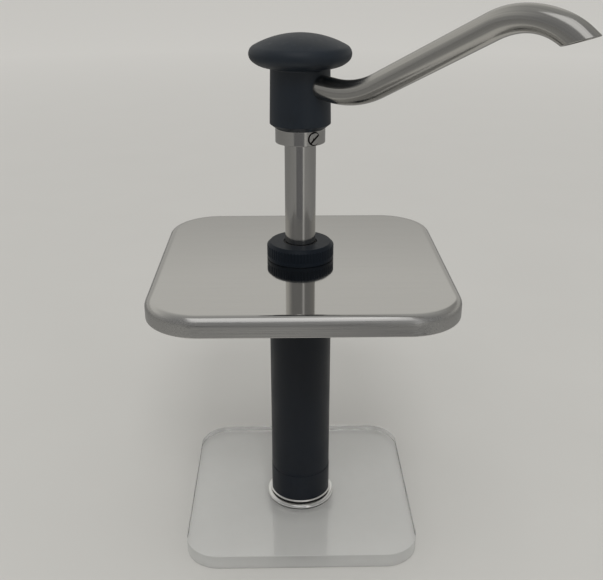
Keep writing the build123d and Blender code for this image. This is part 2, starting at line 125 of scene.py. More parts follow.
class PumpSizes(bpy.types.PropertyGroup):
    """Sizes of the pump's visible pieces."""

    steps_round: count("Steps Round", "Faces round each turned piece", 144, 24)
    spring_wire: length("Spring Wire", "Radius of the return spring's wire", 0.0010)
    spring_turns: count("Spring Turns", "Turns of the return spring", 9, 1)
    knob_neck_foot: length("Neck Foot", "Radius of the knob's neck at its foot", 0.0183)
    knob_neck_head: length("Neck Head", "Radius of the neck under the cap", 0.0176)
    knob_neck_height: length("Neck Height", "Height of the knob's neck", 0.0353)
    knob_flat: length("Underside Flat", "Flat ring between neck and cap", 0.0019)
    knob_corner_reach: length("Cap Corner Reach", "Where dome and underside would meet", 0.0319)
    knob_corner_height: length("Cap Corner Height", "Height of that corner over the neck", 0.0091)
    knob_rim: length("Cap Rim", "Radius of the cap's rounded rim", 0.0052)
    knob_root: length("Neck Root", "Radius of the hollow under the cap", 0.0016)
    knob_slope_width: length("Foot Slope Width", "How far the neck's foot slopes in", 0.0034)
    knob_slope_height: length("Foot Slope Height", "Height of that slope", 0.0026)
    spout_radius: length("Spout Radius", "Outer radius of the spout", 0.0070)
    spout_wall: length("Spout Wall", "Wall of the spout", 0.0010)
    spout_height: length("Spout Height", "Height of its root above the hub's collar", 0.0266)
    spout_turn: angle("Spout Turn", "Direction of the spout", -45)
    spout_cut: angle("Mouth Cut", "Slope of the mouth's cut", 18.6)
    knurl_count: count("Knurls", "Grooves round the cap nut", 64, 8)
    knurl_depth: length("Knurl Depth", "Depth of the nut's grooves", 0.00035)
    knurl_radius: length("Knurl Radius", "Radius of each groove", 0.0006)
    nut_foot: length("Nut Foot", "Height of the plain ring below the knurls", 0.0026)
    nut_chamfer: length("Nut Chamfer", "Chamfer round the nut's top", 0.0020)
    plate_corner: length("Plate Corner", "Corner radius of the cover plate", 0.0334)
    plate_bend: length("Plate Bend", "Outer radius of the bend to the rim", 0.0051)
    plate_sheet: length("Plate Sheet", "Thickness of the plate's steel", 0.0010)
    block_corner: length("Block Corner", "Corner radius of the clear block", 0.0230)
    block_edge: length("Block Edge", "Bevel along the block's edges", 0.0005)


class PumpColours(bpy.types.PropertyGroup):
    """Colours and finishes of the pump."""

    bright_steel: tint("Bright Steel", "Tube, hub and screw", (0.57, 0.56, 0.54))
    sheet_steel: tint("Sheet Steel", "Cover plate", (0.64, 0.63, 0.61))
    collar_steel: tint("Collar Steel", "The foot collar", (0.93, 0.925, 0.91))
    dull_steel: tint("Dull Steel", "Valve parts and return spring", (0.52, 0.51, 0.50))
    spout_steel: tint("Spout Steel", "The bent spout", (0.50, 0.49, 0.467))
    moulding: tint("Black Moulding", "The knob", (0.0045, 0.0095, 0.0165))
    barrel: tint("Barrel", "The barrel and the valve housing", (0.0018, 0.0042, 0.0088))
    nut: tint("Cap Nut", "The knurled nut", (0.0045, 0.0075, 0.0120))
    underside: tint("Block Underside", "The ground underside of the clear block", (0.63, 0.626, 0.61))
    # Painted shade: the dark tint put in the screw's pocket and slot and along the foot collar's seam
    painted_shade: tint("Painted Shade", "Shade painted in slots, rings and seams", (0.012, 0.012, 0.013))
    acetal: tint("White Acetal", "Guide sleeve, piston and washer", (0.80, 0.80, 0.76))
    rubber: tint("Rubber", "Seals and rings", (0.018, 0.018, 0.018))
    bright_roughness: share("Bright Roughness", "Roughness of the bright steel", 0.13)
    sheet_roughness: share("Sheet Roughness", "Roughness of the cover plate", 0.06)
    rim_roughness: share("Rim Roughness", "Roughness of the plate's rim", 0.30)
    spout_roughness: share("Spout Roughness", "Roughness of the satin spout", 0.17)
    nut_roughness: share("Nut Roughness", "Roughness of the cap nut", 0.38)
    moulding_roughness: share("Moulding Roughness", "Roughness of the black mouldings", 0.46)


class PumpStudio(bpy.types.PropertyGroup):
    """Camera, floor and light."""

    floor: tint("Floor", "Colour of the floor", (0.560, 0.554, 0.530))
    backdrop: tint("Backdrop", "What the camera sees behind the pump", (0.552, 0.546, 0.521))
    room: tint("Room", "What shiny pieces show of the room in front of the pump", (0.24, 0.24, 0.24))
    ceiling: tint("Ceiling", "What shiny pieces show of the ceiling", (0.37, 0.37, 0.36))
    far_floor: tint("Far Floor", "What shiny pieces show of the floor further off", (0.28, 0.28, 0.275))
    # Painted light: the floor is painted paler far behind the pump
    painted_far_light: tint("Floor Painted Paler Far Off", "Light painted on the floor far behind the pump", (0.815, 0.806, 0.779))
    even_light: share("Even Light", "Strength of the light from all round", 0.70)
    lens: bpy.props.FloatProperty(
        name="Lens", description="Focal length in millimetres", default=48.69, min=10.0
    )


# Outlines and meshes


def arc(centre, radius, start, end, steps):
    """Points (r, z) on an arc from one angle to another, both ends included."""
    return [
        (
            centre[0] + radius * cos(start + (end - start) * k / steps),
            centre[1] + radius * sin(start + (end - start) * k / steps),
        )
        for k in range(steps + 1)
    ]


def rounded(corners, closed=True):
    """An outline of (r, z, radius) corners with each corner rounded by its radius."""
    outline = []
    for k, (r, z, radius) in enumerate(corners):
        at_end = not closed and k in (0, len(corners) - 1)
        if radius == 0 or at_end:
            outline.append((r, z))
            continue
        here = Vector((r, z))
        back = (Vector(corners[k - 1][:2]) - here).normalized()
        on = (Vector(corners[(k + 1) % len(corners)][:2]) - here).normalized()
        half = acos(max(-1.0, min(1.0, back.dot(on)))) / 2
        centre = here + (back + on).normalized() * (radius / sin(half))
        first = here + back * (radius / tan(half)) - centre
        last = here + on * (radius / tan(half)) - centre
        start, end = atan2(first.y, first.x), atan2(last.y, last.x)
        if end - start > pi:
            end -= tau
        if start - end > pi:
            end += tau
        steps = max(3, ceil(abs(end - start) / radians(15)))
        outline += arc(centre, radius, start, end, steps)
    return outline


def turned_rows(outline, steps):
    """Rows of points: each outline point (r, z) carried round the pump's axis."""
    return [
        [Vector((r * cos(tau * k / steps), r * sin(tau * k / steps), z)) for k in range(steps)]
        for r, z in outline
    ]


def skin(name, rows, closed=True):
    """A mesh over rows of points that each go round once, joined last to first if closed."""
    steps = len(rows[0])
    travelled = [0.0]
    for low, high in zip(rows, rows[1:]):
        travelled.append(travelled[-1] + (high[0] - low[0]).length)
    travelled.append(travelled[-1] + (rows[0][0] - rows[-1][0]).length)
    shape = bmesh.new()
    grid = [[shape.verts.new(point) for point in row] for row in rows]
    grain = shape.loops.layers.uv.new("grain")
    for k in range(len(rows) if closed else len(rows) - 1):
        low, high = grid[k], grid[(k + 1) % len(rows)]
        for j in range(steps):
            face = shape.faces.new((low[j], low[(j + 1) % steps], high[(j + 1) % steps], high[j]))
            marks = ((j, k), (j + 1, k), (j + 1, k + 1), (j, k + 1))
            for loop, (across, along) in zip(face.loops, marks):
                loop[grain].uv = (across / steps, travelled[along])
    bmesh.ops.remove_doubles(shape, verts=shape.verts, dist=1e-7)
    bmesh.ops.recalc_face_normals(shape, faces=shape.faces)
    mesh = bpy.data.meshes.new(name)
    shape.to_mesh(mesh)
    shape.free()
    mesh.shade_smooth()
    return mesh


def place(mesh, finish, body, slot, *nodes, sharp=40):
    """Put a mesh in the scene as the piece that stands for CAD nodes of a body."""
    mesh.set_sharp_from_angle(angle=radians(sharp))
    mesh.materials.append(finish_named(finish))
    piece = bpy.data.objects.new(mesh.name, mesh)
    bpy.context.scene.collection.objects.link(piece)
    even = piece.modifiers.new("Even shading", "WEIGHTED_NORMAL")
    even.keep_sharp = True
    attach(piece, body)
    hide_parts(*nodes)
    return piece


def turned(name, outline, closed=True):
    """A mesh turned from an outline of (r, z) points."""
    rows = turned_rows(outline, bpy.context.scene.pump_sizes.steps_round)
    return skin(name, rows, closed)


def middle_of(node):
    """Middle of a node's box seen from above."""
    low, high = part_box(node)
    return (low.x + high.x) / 2, (low.y + high.y) / 2


def rounded_square(centre, side, corner, height, steps=8):
    """One loop of a square with round corners, starting in the middle of its right side."""
    half, points = side / 2, []
    inner = half - corner
    for quarter in range(4):
        turn = quarter * pi / 2
        loop = [(half, inner * k / steps) for k in range(steps)]
        loop += arc((inner, inner), corner, 0, pi / 2, 2 * steps)
        loop += [(inner * (1 - k / steps), half) for k in range(1, steps)]
        for x, y in loop:
            across = centre[0] + x * cos(turn) - y * sin(turn)
            points.append(Vector((across, centre[1] + x * sin(turn) + y * cos(turn), height)))
    return points


def circle_facing(loop, radius, height):
    """A round loop about the pump's axis whose points face those of another loop."""
    return [
        Vector((radius * cos(turn), radius * sin(turn), height))
        for turn in (atan2(point.y, point.x) for point in loop)
    ]


def between(first, last, shares):
    """Loops that lead from one loop to another by the given shares of the way."""
    return [[a.lerp(b, part) for a, b in zip(first, last)] for part in shares]


# Finishes


def add_node(tree, kind, inputs=None, **settings):
    """Add a node, set it up, and fill its inputs with values or with other nodes' outputs."""
    node = tree.nodes.new(kind)
    for key, value in settings.items():
        setattr(node, key, value)
    for key, value in (inputs or {}).items():
        if isinstance(value, bpy.types.NodeSocket):
            tree.links.new(value, node.inputs[key])
        else:
            node.inputs[key].default_value = value
    return node


def new_finish(name):
    """An empty node material, and its node tree."""
    finish = bpy.data.materials.new(name)
    finish.use_nodes = True
    finish.node_tree.nodes.clear()
    return finish, finish.node_tree


def surface(tree, inputs):
    """Show a Principled shader with these inputs as the material's surface."""
    shader = add_node(tree, "ShaderNodeBsdfPrincipled", inputs).outputs["BSDF"]
    add_node(tree, "ShaderNodeOutputMaterial", {"Surface": shader})


def scaled(tree, point, scale):
    """A point stretched by a scale along each axis."""
    return add_node(tree, "ShaderNodeMapping", {"Vector": point, "Scale": scale}).outputs["Vector"]


def object_point(tree, scale=(1, 1, 1)):
    """The point on the piece in metres, stretched by a scale along each axis."""
    return scaled(tree, add_node(tree, "ShaderNodeTexCoord").outputs["Object"], scale)


def ring_point(tree, scale):
    """The point's distance from the axis and its height, for marks that run round a turned piece."""
    where = add_node(tree, "ShaderNodeTexCoord").outputs["Object"]
    apart = add_node(tree, "ShaderNodeSeparateXYZ", {"Vector": where}).outputs
    flat = add_node(tree, "ShaderNodeCombineXYZ", {"X": apart["X"], "Y": apart["Y"]})
    distance = measure(tree, "LENGTH", flat.outputs["Vector"])
    section = add_node(tree, "ShaderNodeCombineXYZ", {"X": distance, "Z": apart["Z"]})
    return scaled(tree, section.outputs["Vector"], scale)


def grain_point(tree, scale):
    """The point in the piece's own grain map: once round across, metres along."""
    return scaled(tree, add_node(tree, "ShaderNodeUVMap", uv_map="grain").outputs["UV"], scale)


def noise(tree, point, scale=1.0, detail=2.0, roughness=0.5):
    """Cloudy numbers round 0.5."""
    inputs = {"Vector": point, "Scale": scale, "Detail": detail, "Roughness": roughness}
    return add_node(tree, "ShaderNodeTexNoise", inputs).outputs["Fac"]


def spread(tree, value, low=0.0, high=1.0, start=0.3, end=0.7):
    """Numbers between a start and an end, spread from a low to a high figure."""
    inputs = {"Value": value, "From Min": start, "From Max": end, "To Min": low, "To Max": high}
    return add_node(tree, "ShaderNodeMapRange", inputs).outputs["Result"]


def calculate(tree, operation, first, second=0.0):
    """One sum of two numbers or other nodes' outputs."""
    inputs = {0: first, 1: second}
    return add_node(tree, "ShaderNodeMath", inputs, operation=operation).outputs["Value"]


def measure(tree, operation, point, other=(0, 0, 0)):
    """A number worked out from a vector and perhaps another one."""
    inputs = {0: point, 1: other}
    return add_node(tree, "ShaderNodeVectorMath", inputs, operation=operation).outputs["Value"]


def blend_colour(tree, share_of_second, first, second):
    """A colour between two, plain ones or other nodes' outputs, by a share."""
    mix = add_node(tree, "ShaderNodeMix", {"Factor": share_of_second}, data_type="RGBA")
    for socket, colour in (("A", first), ("B", second)):
        if isinstance(colour, bpy.types.NodeSocket):
            tree.links.new(colour, mix.inputs[socket])
        else:
            mix.inputs[socket].default_value = (*colour, 1)
    return mix.outputs["Result"]


def shade(colour, factor):
    """A colour made darker or lighter by a factor."""
    return [min(1.0, part * factor) for part in colour]


def varied(tree, marks, colour, low, high):
    """A colour that goes with the marks from one shade of itself to another."""
    return blend_colour(tree, spread(tree, marks), shade(colour, low), shade(colour, high))


def smeared(tree, marks, smears, roughness, variation, smear):
    """A roughness that varies with fine marks, and is raised by a share where it is smeared."""
    fine = spread(tree, marks, roughness * (1 - variation), roughness * (1 + variation))
    return calculate(tree, "ADD", fine, spread(tree, smears, 0.0, roughness * smear, 0.45, 0.75))


def raised(tree, height, strength, distance):
    """The normal of a surface with fine relief."""
    inputs = {"Height": height, "Strength": strength, "Distance": distance}
    return add_node(tree, "ShaderNodeBump", inputs).outputs["Normal"]


def within(tree, value, limit, soft):
    """One below a limit and nothing above it, with a soft step."""
    return spread(tree, value, 1.0, 0.0, limit - soft, limit + soft)


def measured(tree, point, direction, start=0.0):
    """How far a point lies along a direction, from a start."""
    return calculate(tree, "SUBTRACT", measure(tree, "DOT_PRODUCT", point, direction), start)


def steel(name, colour, roughness, grain, grain_scale, depth, contrast=0.033, shaded_where=None):
    """Steel with fine marks along its grain, faint handling smears and slightly uneven shine, and
    painted shade where a mask is given.
    """
    finish, tree = new_finish(name)
    marks = noise(tree, grain(tree, grain_scale), 1.0, 3.0, 0.6)
    smears = noise(tree, object_point(tree), 34.0, 3.0, 0.55)
    tone = varied(tree, marks, colour, 1 - contrast, 1 + contrast)
    # Painted shade: the colour goes to the dark tint where the mask says
    if shaded_where is not None:
        painted_shade = bpy.context.scene.pump_colours.painted_shade
        tone = blend_colour(tree, shaded_where(tree), tone, painted_shade)
    surface(tree, {
        "Base Color": tone,
        "Metallic": 1.0,
        "Roughness": smeared(tree, marks, smears, roughness, 0.2, 0.45),
        "Normal": raised(tree, marks, 1.0, depth),
    })
    return finish


def plate_steel(name, colour, roughness, rim_roughness):
    """Sheet steel: bright on top, and brushed lengthwise and duller down its rim."""
    finish, tree = new_finish(name)
    top, bend = head_of("cover_plate"), bpy.context.scene.pump_sizes.plate_bend
    plain = object_point(tree)
    height = add_node(tree, "ShaderNodeSeparateXYZ", {"Vector": plain}).outputs["Z"]
    rim = spread(tree, height, 1.0, 0.0, top - bend * 0.5, top - bend * 0.03)
    marks = noise(tree, object_point(tree, (14, 2200, 2200)), 1.0, 3.0, 0.6)
    smears = noise(tree, plain, 26.0, 4.0, 0.55)
    flat = smeared(tree, marks, smears, roughness, 0.2, 0.6)
    dull = spread(tree, marks, rim_roughness * 0.8, rim_roughness * 1.2)
    rough = add_node(
        tree, "ShaderNodeMix", {"Factor": rim, "A": flat, "B": dull}, data_type="FLOAT"
    )
    clean = varied(tree, marks, colour, 0.975, 1.02)
    streaked = varied(tree, marks, colour, 0.78, 0.98)
    surface(tree, {
        "Base Color": blend_colour(tree, rim, clean, streaked),
        "Metallic": 1.0,
        "Roughness": rough.outputs["Result"],
        "Normal": raised(tree, marks, 1.0, 1e-7),
    })
    return finish


def screw_place(tree):
    """Where a point lies from the screw's middle: outwards, sideways and up, in metres."""
    low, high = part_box("hub_screw")
    point = object_point(tree)
    out = measured(tree, point, (cos(SCREW_TURN), sin(SCREW_TURN), 0))
    side = measured(tree, point, (-sin(SCREW_TURN), cos(SCREW_TURN), 0))
    up = measured(tree, point, (0, 0, 1), (low.z + high.z) / 2)
    return out, side, up


def pocket_shade_mask(tree):
    """The round pocket that the screw's head sits in, painted dark as shade round the head."""
    radius, soft, start = 0.00412, 0.00008, 0.0105
    # Painted shade: a dark ring where the pocket's gap would be in shade
    out, side, up = screw_place(tree)
    squares = (calculate(tree, "POWER", part, 2) for part in (side, up))
    distance = calculate(tree, "SQRT", calculate(tree, "ADD", *squares))
    near = within(tree, distance, radius, soft)
    return calculate(tree, "MULTIPLY", near, calculate(tree, "GREATER_THAN", out, start))


def slot_shade_mask(tree):
    """The slot across the screw's head, painted dark as shade."""
    half_width, soft, start = 0.00060, 0.00006, 0.0150
    # Painted shade: the slot is darkened as if shaded by its walls
    out, side, up = screw_place(tree)
    across = calculate(
        tree, "ADD",
        calculate(tree, "MULTIPLY", side, -sin(SLOT_TURN)),
        calculate(tree, "MULTIPLY", up, cos(SLOT_TURN)),
    )
    near = within(tree, calculate(tree, "ABSOLUTE", across), half_width, soft)
    return calculate(tree, "MULTIPLY", near, calculate(tree, "GREATER_THAN", out, start))


def contact_shade_mask(tree):
    """The lowest part of the foot collar's round bead, next to the clear block, painted dark as contact
    shadow.
    """
    # Painted shadow: the bead darkens within this height of its foot
    seam, soft = 0.0019, 0.0004
    up = measured(tree, object_point(tree), (0, 0, 1), foot_of("foot_collar"))
    return within(tree, up, seam, soft)


def moulding(name, colour, roughness, shine):
    """Black moulded plastic: finely pebbled, a little paler where its edges are rubbed."""
    finish, tree = new_finish(name)
    cloud = noise(tree, object_point(tree), 60.0, 4.0, 0.55)
    pebble = noise(tree, object_point(tree), 2600.0, 2.0, 0.5)
    scuff = noise(tree, object_point(tree, (260, 260, 40)), 1.0, 4.0, 0.65)
    edge = add_node(tree, "ShaderNodeNewGeometry").outputs["Pointiness"]
    worn = spread(tree, edge, 0.0, 1.0, 0.52, 0.62)
    clean = varied(tree, cloud, colour, 0.86, 1.14)
    rough = spread(tree, cloud, roughness * 0.92, roughness * 1.08)
    surface(tree, {
        "Base Color": blend_colour(tree, worn, clean, shade(colour, 2.4)),
        "Roughness": calculate(tree, "ADD", rough, spread(tree, scuff, 0.0, -0.10, 0.55, 0.75)),
        "IOR": 1.48,
        "Specular IOR Level": shine,
        "Normal": raised(tree, pebble, 0.6, 0.00003),
    })
    return finish


def soft_finish(name, colour, roughness, grain_size, depth):
    """Acetal or rubber: an even colour with faint clouds and a fine dull grain."""
    finish, tree = new_finish(name)
    cloud = noise(tree, object_point(tree), 90.0, 3.0, 0.5)
    fine = noise(tree, object_point(tree), 1 / grain_size, 2.0, 0.5)
    surface(tree, {
        "Base Color": varied(tree, cloud, colour, 0.93, 1.04),
        "Roughness": spread(tree, cloud, roughness * 0.9, roughness * 1.1),
        "Normal": raised(tree, fine, 0.5, depth),
    })
    return finish


def clear_acrylic(name):
    """Clear cast acrylic with a faint polish haze, which lets the lamps through to the floor."""
    finish, tree = new_finish(name)
    haze = noise(tree, object_point(tree), 45.0, 4.0, 0.6)
    clear = add_node(tree, "ShaderNodeBsdfPrincipled", {
        "Base Color": (0.985, 0.99, 0.985, 1),
        "Roughness": spread(tree, haze, 0.005, 0.02),
        "IOR": 1.49,
        "Transmission Weight": 1.0,
    })
    through = add_node(tree, "ShaderNodeBsdfTransparent", {"Color": (0.95, 0.955, 0.95, 1)})
    mix = add_node(tree, "ShaderNodeMixShader", {
        "Fac": add_node(tree, "ShaderNodeLightPath").outputs["Is Shadow Ray"],
        1: clear.outputs["BSDF"],
        2: through.outputs["BSDF"],
    })
    add_node(tree, "ShaderNodeOutputMaterial", {"Surface": mix.outputs["Shader"]})
    return finish


def block_underside(name, colour):
    """The block's ground underside: pale and even, and a mirror for what is seen at a low angle."""
    finish, tree = new_finish(name)
    cloud = noise(tree, object_point(tree), 70.0, 3.0, 0.5)
    facing = add_node(tree, "ShaderNodeLayerWeight", {"Blend": 0.5}).outputs["Facing"]
    surface(tree, {
        "Base Color": varied(tree, cloud, colour, 0.99, 1.01),
        "Roughness": spread(tree, cloud, 0.10, 0.14),
        "Metallic": spread(tree, facing, 0.14, 0.6, 0.35, 0.70),
    })
    return finish


def finish_named(name):
    """The finish of that name, made from the scene's colours when it is first asked for."""
    if name in bpy.data.materials:
        return bpy.data.materials[name]
    own = bpy.context.scene.pump_colours
    bright, rough, black = own.bright_steel, own.bright_roughness, own.moulding_roughness
    rings = ring_point, (2600, 1, 2600)
    make, *details = {
        "drawn steel tube": (steel, bright, rough, object_point, (1500, 1500, 18), 2e-7),
        "satin steel spout": (
            steel, own.spout_steel, own.spout_roughness, grain_point, (70, 9, 1), 3e-7, 0.09,
        ),
        # The collar, hub and screw steels carry painted shade in their seam, pocket and slot
        "turned collar steel": (
            steel, own.collar_steel, rough * 0.65, *rings, 4e-7, 0.033, contact_shade_mask,
        ),
        "turned hub steel": (steel, bright, rough * 1.1, *rings, 4e-7, 0.033, pocket_shade_mask),
        "slotted screw steel": (
            steel, bright, 0.2, object_point, (900, 900, 900), 6e-7, 0.033, slot_shade_mask,
        ),
        "satin turned steel": (steel, own.dull_steel, 0.30, *rings, 1e-6),
        "spring wire": (steel, own.dull_steel, 0.26, object_point, (700, 700, 700), 1e-6),
        "brushed sheet steel": (
            plate_steel, own.sheet_steel, own.sheet_roughness, own.rim_roughness,
        ),
        "black knob moulding": (moulding, own.moulding, black, 0.6),
        "black barrel tube": (moulding, own.barrel, black, 0.34),
        "black nut moulding": (moulding, own.nut, own.nut_roughness, 0.20),
        "white acetal": (soft_finish, own.acetal, 0.42, 0.0005, 0.00001),
        "black rubber": (soft_finish, own.rubber, 0.62, 0.0003, 0.00002),
        "clear acrylic": (clear_acrylic,),
        "scuffed acrylic underside": (block_underside, own.underside),
    }[name]
    return make(name, *details)


# Pieces


class PumpOperator:
    """What the operators that build pieces have in common."""

    bl_options = {"REGISTER", "UNDO"}

    @classmethod
    def poll(cls, context):
        return context.scene is not None


class PUMP_OT_add_block(PumpOperator, bpy.types.Operator):
    """Add the clear block that the pump stands in"""

    bl_idname = "pump.add_block"
    bl_label = "Clear Block"

    socket, socket_floor = 0.0108, 0.0030

    def execute(self, context):
        sizes = context.scene.pump_sizes
        low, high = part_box("stand_block")
        centre = middle_of("stand_block")
        side, corner, edge = high.x - low.x, sizes.block_corner, sizes.block_edge
        socket, floor, brim_edge = self.socket, self.socket_floor, 0.0003

        def loop(inset, height):
            return rounded_square(centre, side - 2 * inset, corner - inset, height)

        bevel = [(0.0, -edge), *arc((edge, 0.0), edge, pi, pi / 2, 4)]
        rows = [loop(inset, high.z - edge + rise) for inset, rise in bevel]
        top = rows[-1]
        brim = circle_facing(top, socket + brim_edge, high.z)
        rows += between(top, brim, (0.02, 0.1, 0.4, 0.8, 1.0))
        rows += [
            circle_facing(top, radius, height)
            for radius, height in (
                (socket, high.z - brim_edge),
                (socket, floor + EASED),
                (socket - EASED, floor),
                (0.0, floor),
            )
        ]
        below = [loop(inset, low.z + edge - rise) for inset, rise in bevel]
        middle = circle_facing(below[-1], 0.0, low.z)
        under = between(middle, below[-1], (0.0, 0.25, 0.6, 0.9, 0.98))
        piece = place(
            skin("stand_block_clear", under + below[::-1] + rows, closed=False),
            "clear acrylic", "stand", "clear_acrylic", "stand_block", sharp=50,
        )
        piece.data.materials.append(finish_named("scuffed acrylic underside"))
        for face in piece.data.polygons:
            face.material_index = int(face.center.z < low.z + edge / 10)
        return {"FINISHED"}


class PUMP_OT_add_foot(PumpOperator, bpy.types.Operator):
    """Add the steel foot collar with its two round beads"""

    bl_idname = "pump.add_foot"
    bl_label = "Foot Collar"

    def execute(self, context):
        low, high = foot_of("foot_collar"), head_of("foot_collar")
        wide, barrel = reach("foot_collar"), reach("barrel")
        upper, groove, groove_edge = barrel + 0.0013, barrel - 0.0010, 0.00015
        lower_bead, upper_bead = 0.0019, 0.00072
        recess, recess_top = 0.0143, low + 0.0028
        ledge, step = low + 0.0039, low + 0.0051
        corners = [
            (recess, low, CRISP),
            (wide, low, lower_bead),
            (wide, ledge, lower_bead),
            (groove, ledge, groove_edge),
            (groove, step, groove_edge),
            (upper, step, upper_bead),
            (upper, high, upper_bead),
            (SPIGOT_BORE, high, CRISP),
            (SPIGOT_BORE, recess_top, CRISP),
            (recess, recess_top, CRISP),
        ]
        place(
            turned("foot_collar_beads", rounded(corners)),
            "turned collar steel", "pump", "polished_steel", "foot_collar",
        )
        return {"FINISHED"}


class PUMP_OT_add_barrel(PumpOperator, bpy.types.Operator):
    """Add the black barrel and the valve housing screwed into its lower end"""

    bl_idname = "pump.add_barrel"
    bl_label = "Barrel"

    neck, bore, screw, screw_gap = 0.0180, 0.0150, 0.0170, 0.00003

    def execute(self, context):
        low, high, wide = foot_of("barrel"), head_of("barrel"), reach("barrel")
        shoulder, seat = foot_of("plate_gasket"), head_of("valve_housing")
        corners = [
            (self.screw, low, CRISP),
            (wide, low, 0.00035),
            (wide, shoulder, 0.0003),
            (self.neck, shoulder, CRISP),
            (self.neck, high, 0.0005),
            (self.bore, high, EASED),
            (self.bore, seat, CRISP),
            (self.screw, seat, CRISP),
        ]
        place(
            turned("barrel_tube", rounded(corners)),
            "black barrel tube", "pump", "black_plastic", "barrel",
        )

        foot, wall = foot_of("valve_housing"), reach("valve_housing")
        plug = self.screw - self.screw_gap
        ring_r, ring_z, ring_half = 0.01562, (low + seat) / 2, 0.00075
        stop_r, stop_z = 0.01203, foot_of("inlet_ball_stop")
        chamber, spigot_top = 0.0080, head_of("inlet_seat")
        corners = [
            (SPIGOT_BORE, foot, CRISP),
            (wall, foot, 0.0003),
            (wall, low, 0.0004),
            (plug, low, CRISP),
            (plug, ring_z - ring_half, CRISP),
            (ring_r, ring_z - ring_half, CRISP),
            (ring_r, ring_z + ring_half, CRISP),
            (plug, ring_z + ring_half, CRISP),
            (plug, seat, EASED),
            (stop_r, seat, CRISP),
            (stop_r, stop_z, CRISP),
            (chamber, stop_z, CRISP),
            (chamber, spigot_top, CRISP),
            (SPIGOT_BORE, spigot_top, CRISP),
        ]
        place(
            turned("valve_housing_skirt", rounded(corners)),
            "black barrel tube", "pump", "black_plastic", "valve_housing",
        )
        return {"FINISHED"}


class PUMP_OT_add_plate(PumpOperator, bpy.types.Operator):
    """Add the square cover plate of sheet steel with its rim turned down"""

    bl_idname = "pump.add_plate"
    bl_label = "Cover Plate"

    hole = 0.0183

    def execute(self, context):
        sizes = context.scene.pump_sizes
        low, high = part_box("cover_plate")
        centre, halfway = middle_of("cover_plate"), (low.z + high.z) / 2
        side, corner, hole = high.x - low.x, sizes.plate_corner, self.hole
        bend, sheet = sizes.plate_bend, sizes.plate_sheet
        lip = sheet / 2
        section = arc((lip, low.z + lip), lip, 0, -pi, 6)[1:-1]
        outer = [(0.0, low.z + lip), (0.0, halfway)]
        outer += arc((bend, high.z - bend), bend, pi, pi / 2, 10)
        inner = [(sheet, low.z + lip), (sheet, halfway)]
        inner += arc((bend, high.z - bend), bend - sheet, pi, pi / 2, 8)

        def loops(profile):
            return [
                rounded_square(centre, side - 2 * inset, corner - inset, height)
                for inset, height in profile
            ]

        over, below, edge = loops(outer), loops(inner), loops(section)
        brim = circle_facing(over[-1], hole + EASED, high.z)
        sill = circle_facing(over[-1], hole + EASED, high.z - sheet)
        shares = (0.012, 0.06, 0.15, 0.3, 0.45, 0.6, 0.75, 0.88, 0.96, 1.0)
        rows = below[::-1] + edge + over
        rows += between(over[-1], brim, shares)
        rows += [circle_facing(over[-1], hole, high.z - EASED)]
        rows += [circle_facing(over[-1], hole, high.z - sheet + EASED)]
        rows += between(sill, below[-1], (0.0, *[1 - part for part in shares[-2::-1]]))
        place(
            skin("cover_plate_sheet", rows),
            "brushed sheet steel", "pump", "brushed_steel", "cover_plate", sharp=60,
        )
        return {"FINISHED"}


class PUMP_OT_add_nut(PumpOperator, bpy.types.Operator):
    """Add the knurled cap nut that clamps the plate"""

    bl_idname = "pump.add_nut"
    bl_label = "Cap Nut"

    wide, bore, hole, roof_thickness = 0.0210, 0.01808, 0.0104, 0.0020
    steps_per_knurl = 12

    def execute(self, context):
        sizes = context.scene.pump_sizes
        low, high = foot_of("cap_nut"), head_of("cap_nut")
        wide, bore, hole, edge = self.wide, self.bore, self.hole, 0.0004
        foot, chamfer, roof = low + sizes.nut_foot, sizes.nut_chamfer, high - self.roof_thickness
        pitch = wide - sizes.knurl_depth + sizes.knurl_radius
        steps = sizes.knurl_count * self.steps_per_knurl

        def groove(turn):
            """Distance from the axis to the bottom of the groove in that direction."""
            aside = (turn * sizes.knurl_count / tau + 0.5) % 1 - 0.5
            across = pitch * sin(aside * tau / sizes.knurl_count)
            room = sizes.knurl_radius**2 - across**2
            return pitch - sqrt(room) if room > 0 else 1.0

        plain = rounded([(bore, low, CRISP), (wide, low, edge), (wide, foot, EASED)], closed=False)
        cut = [(wide, foot + CRISP / 2), (wide, foot + edge), (wide, high - chamfer - EASED)]
        cut += [
            (wide - chamfer * part, high - chamfer + chamfer * part)
            for part in (0.03, 0.1, 0.18, 0.3, 0.5, 0.75, 0.94)
        ]
        cut.append((wide - chamfer - CRISP, high))
        inside = [
            (wide - chamfer - edge, high, 0), (hole, high, edge), (hole, roof, CRISP),
            (bore, roof, CRISP), (bore, low + edge, 0),
        ]
        rows = turned_rows(plain, steps)
        for r, z in cut:
            row = []
            for k in range(steps):
                turn = tau * k / steps
                near = min(r, groove(turn))
                row.append(Vector((near * cos(turn), near * sin(turn), z)))
            rows.append(row)
        rows += turned_rows(rounded(inside, closed=False), steps)
        place(
            skin("cap_nut_knurled", rows),
            "black nut moulding", "cap", "black_plastic", "cap_nut", sharp=32,
        )
        return {"FINISHED"}


class PUMP_OT_add_tube(PumpOperator, bpy.types.Operator):
    """Add the bright plunger tube"""

    bl_idname = "pump.add_tube"
    bl_label = "Plunger Tube"

    wall = 0.0010

    def execute(self, context):
        low, high = foot_of("plunger_tube"), head_of("plunger_tube")
        wide, edge = reach("plunger_tube"), 0.0003
        bore = wide - self.wall
        corners = [
            (bore, low, EASED), (wide, low, edge), (wide, high, edge), (bore, high, EASED),
        ]
        place(
            turned("plunger_tube_drawn", rounded(corners)),
            "drawn steel tube", "plunger", "polished_steel", "plunger_tube",
        )
        return {"FINISHED"}


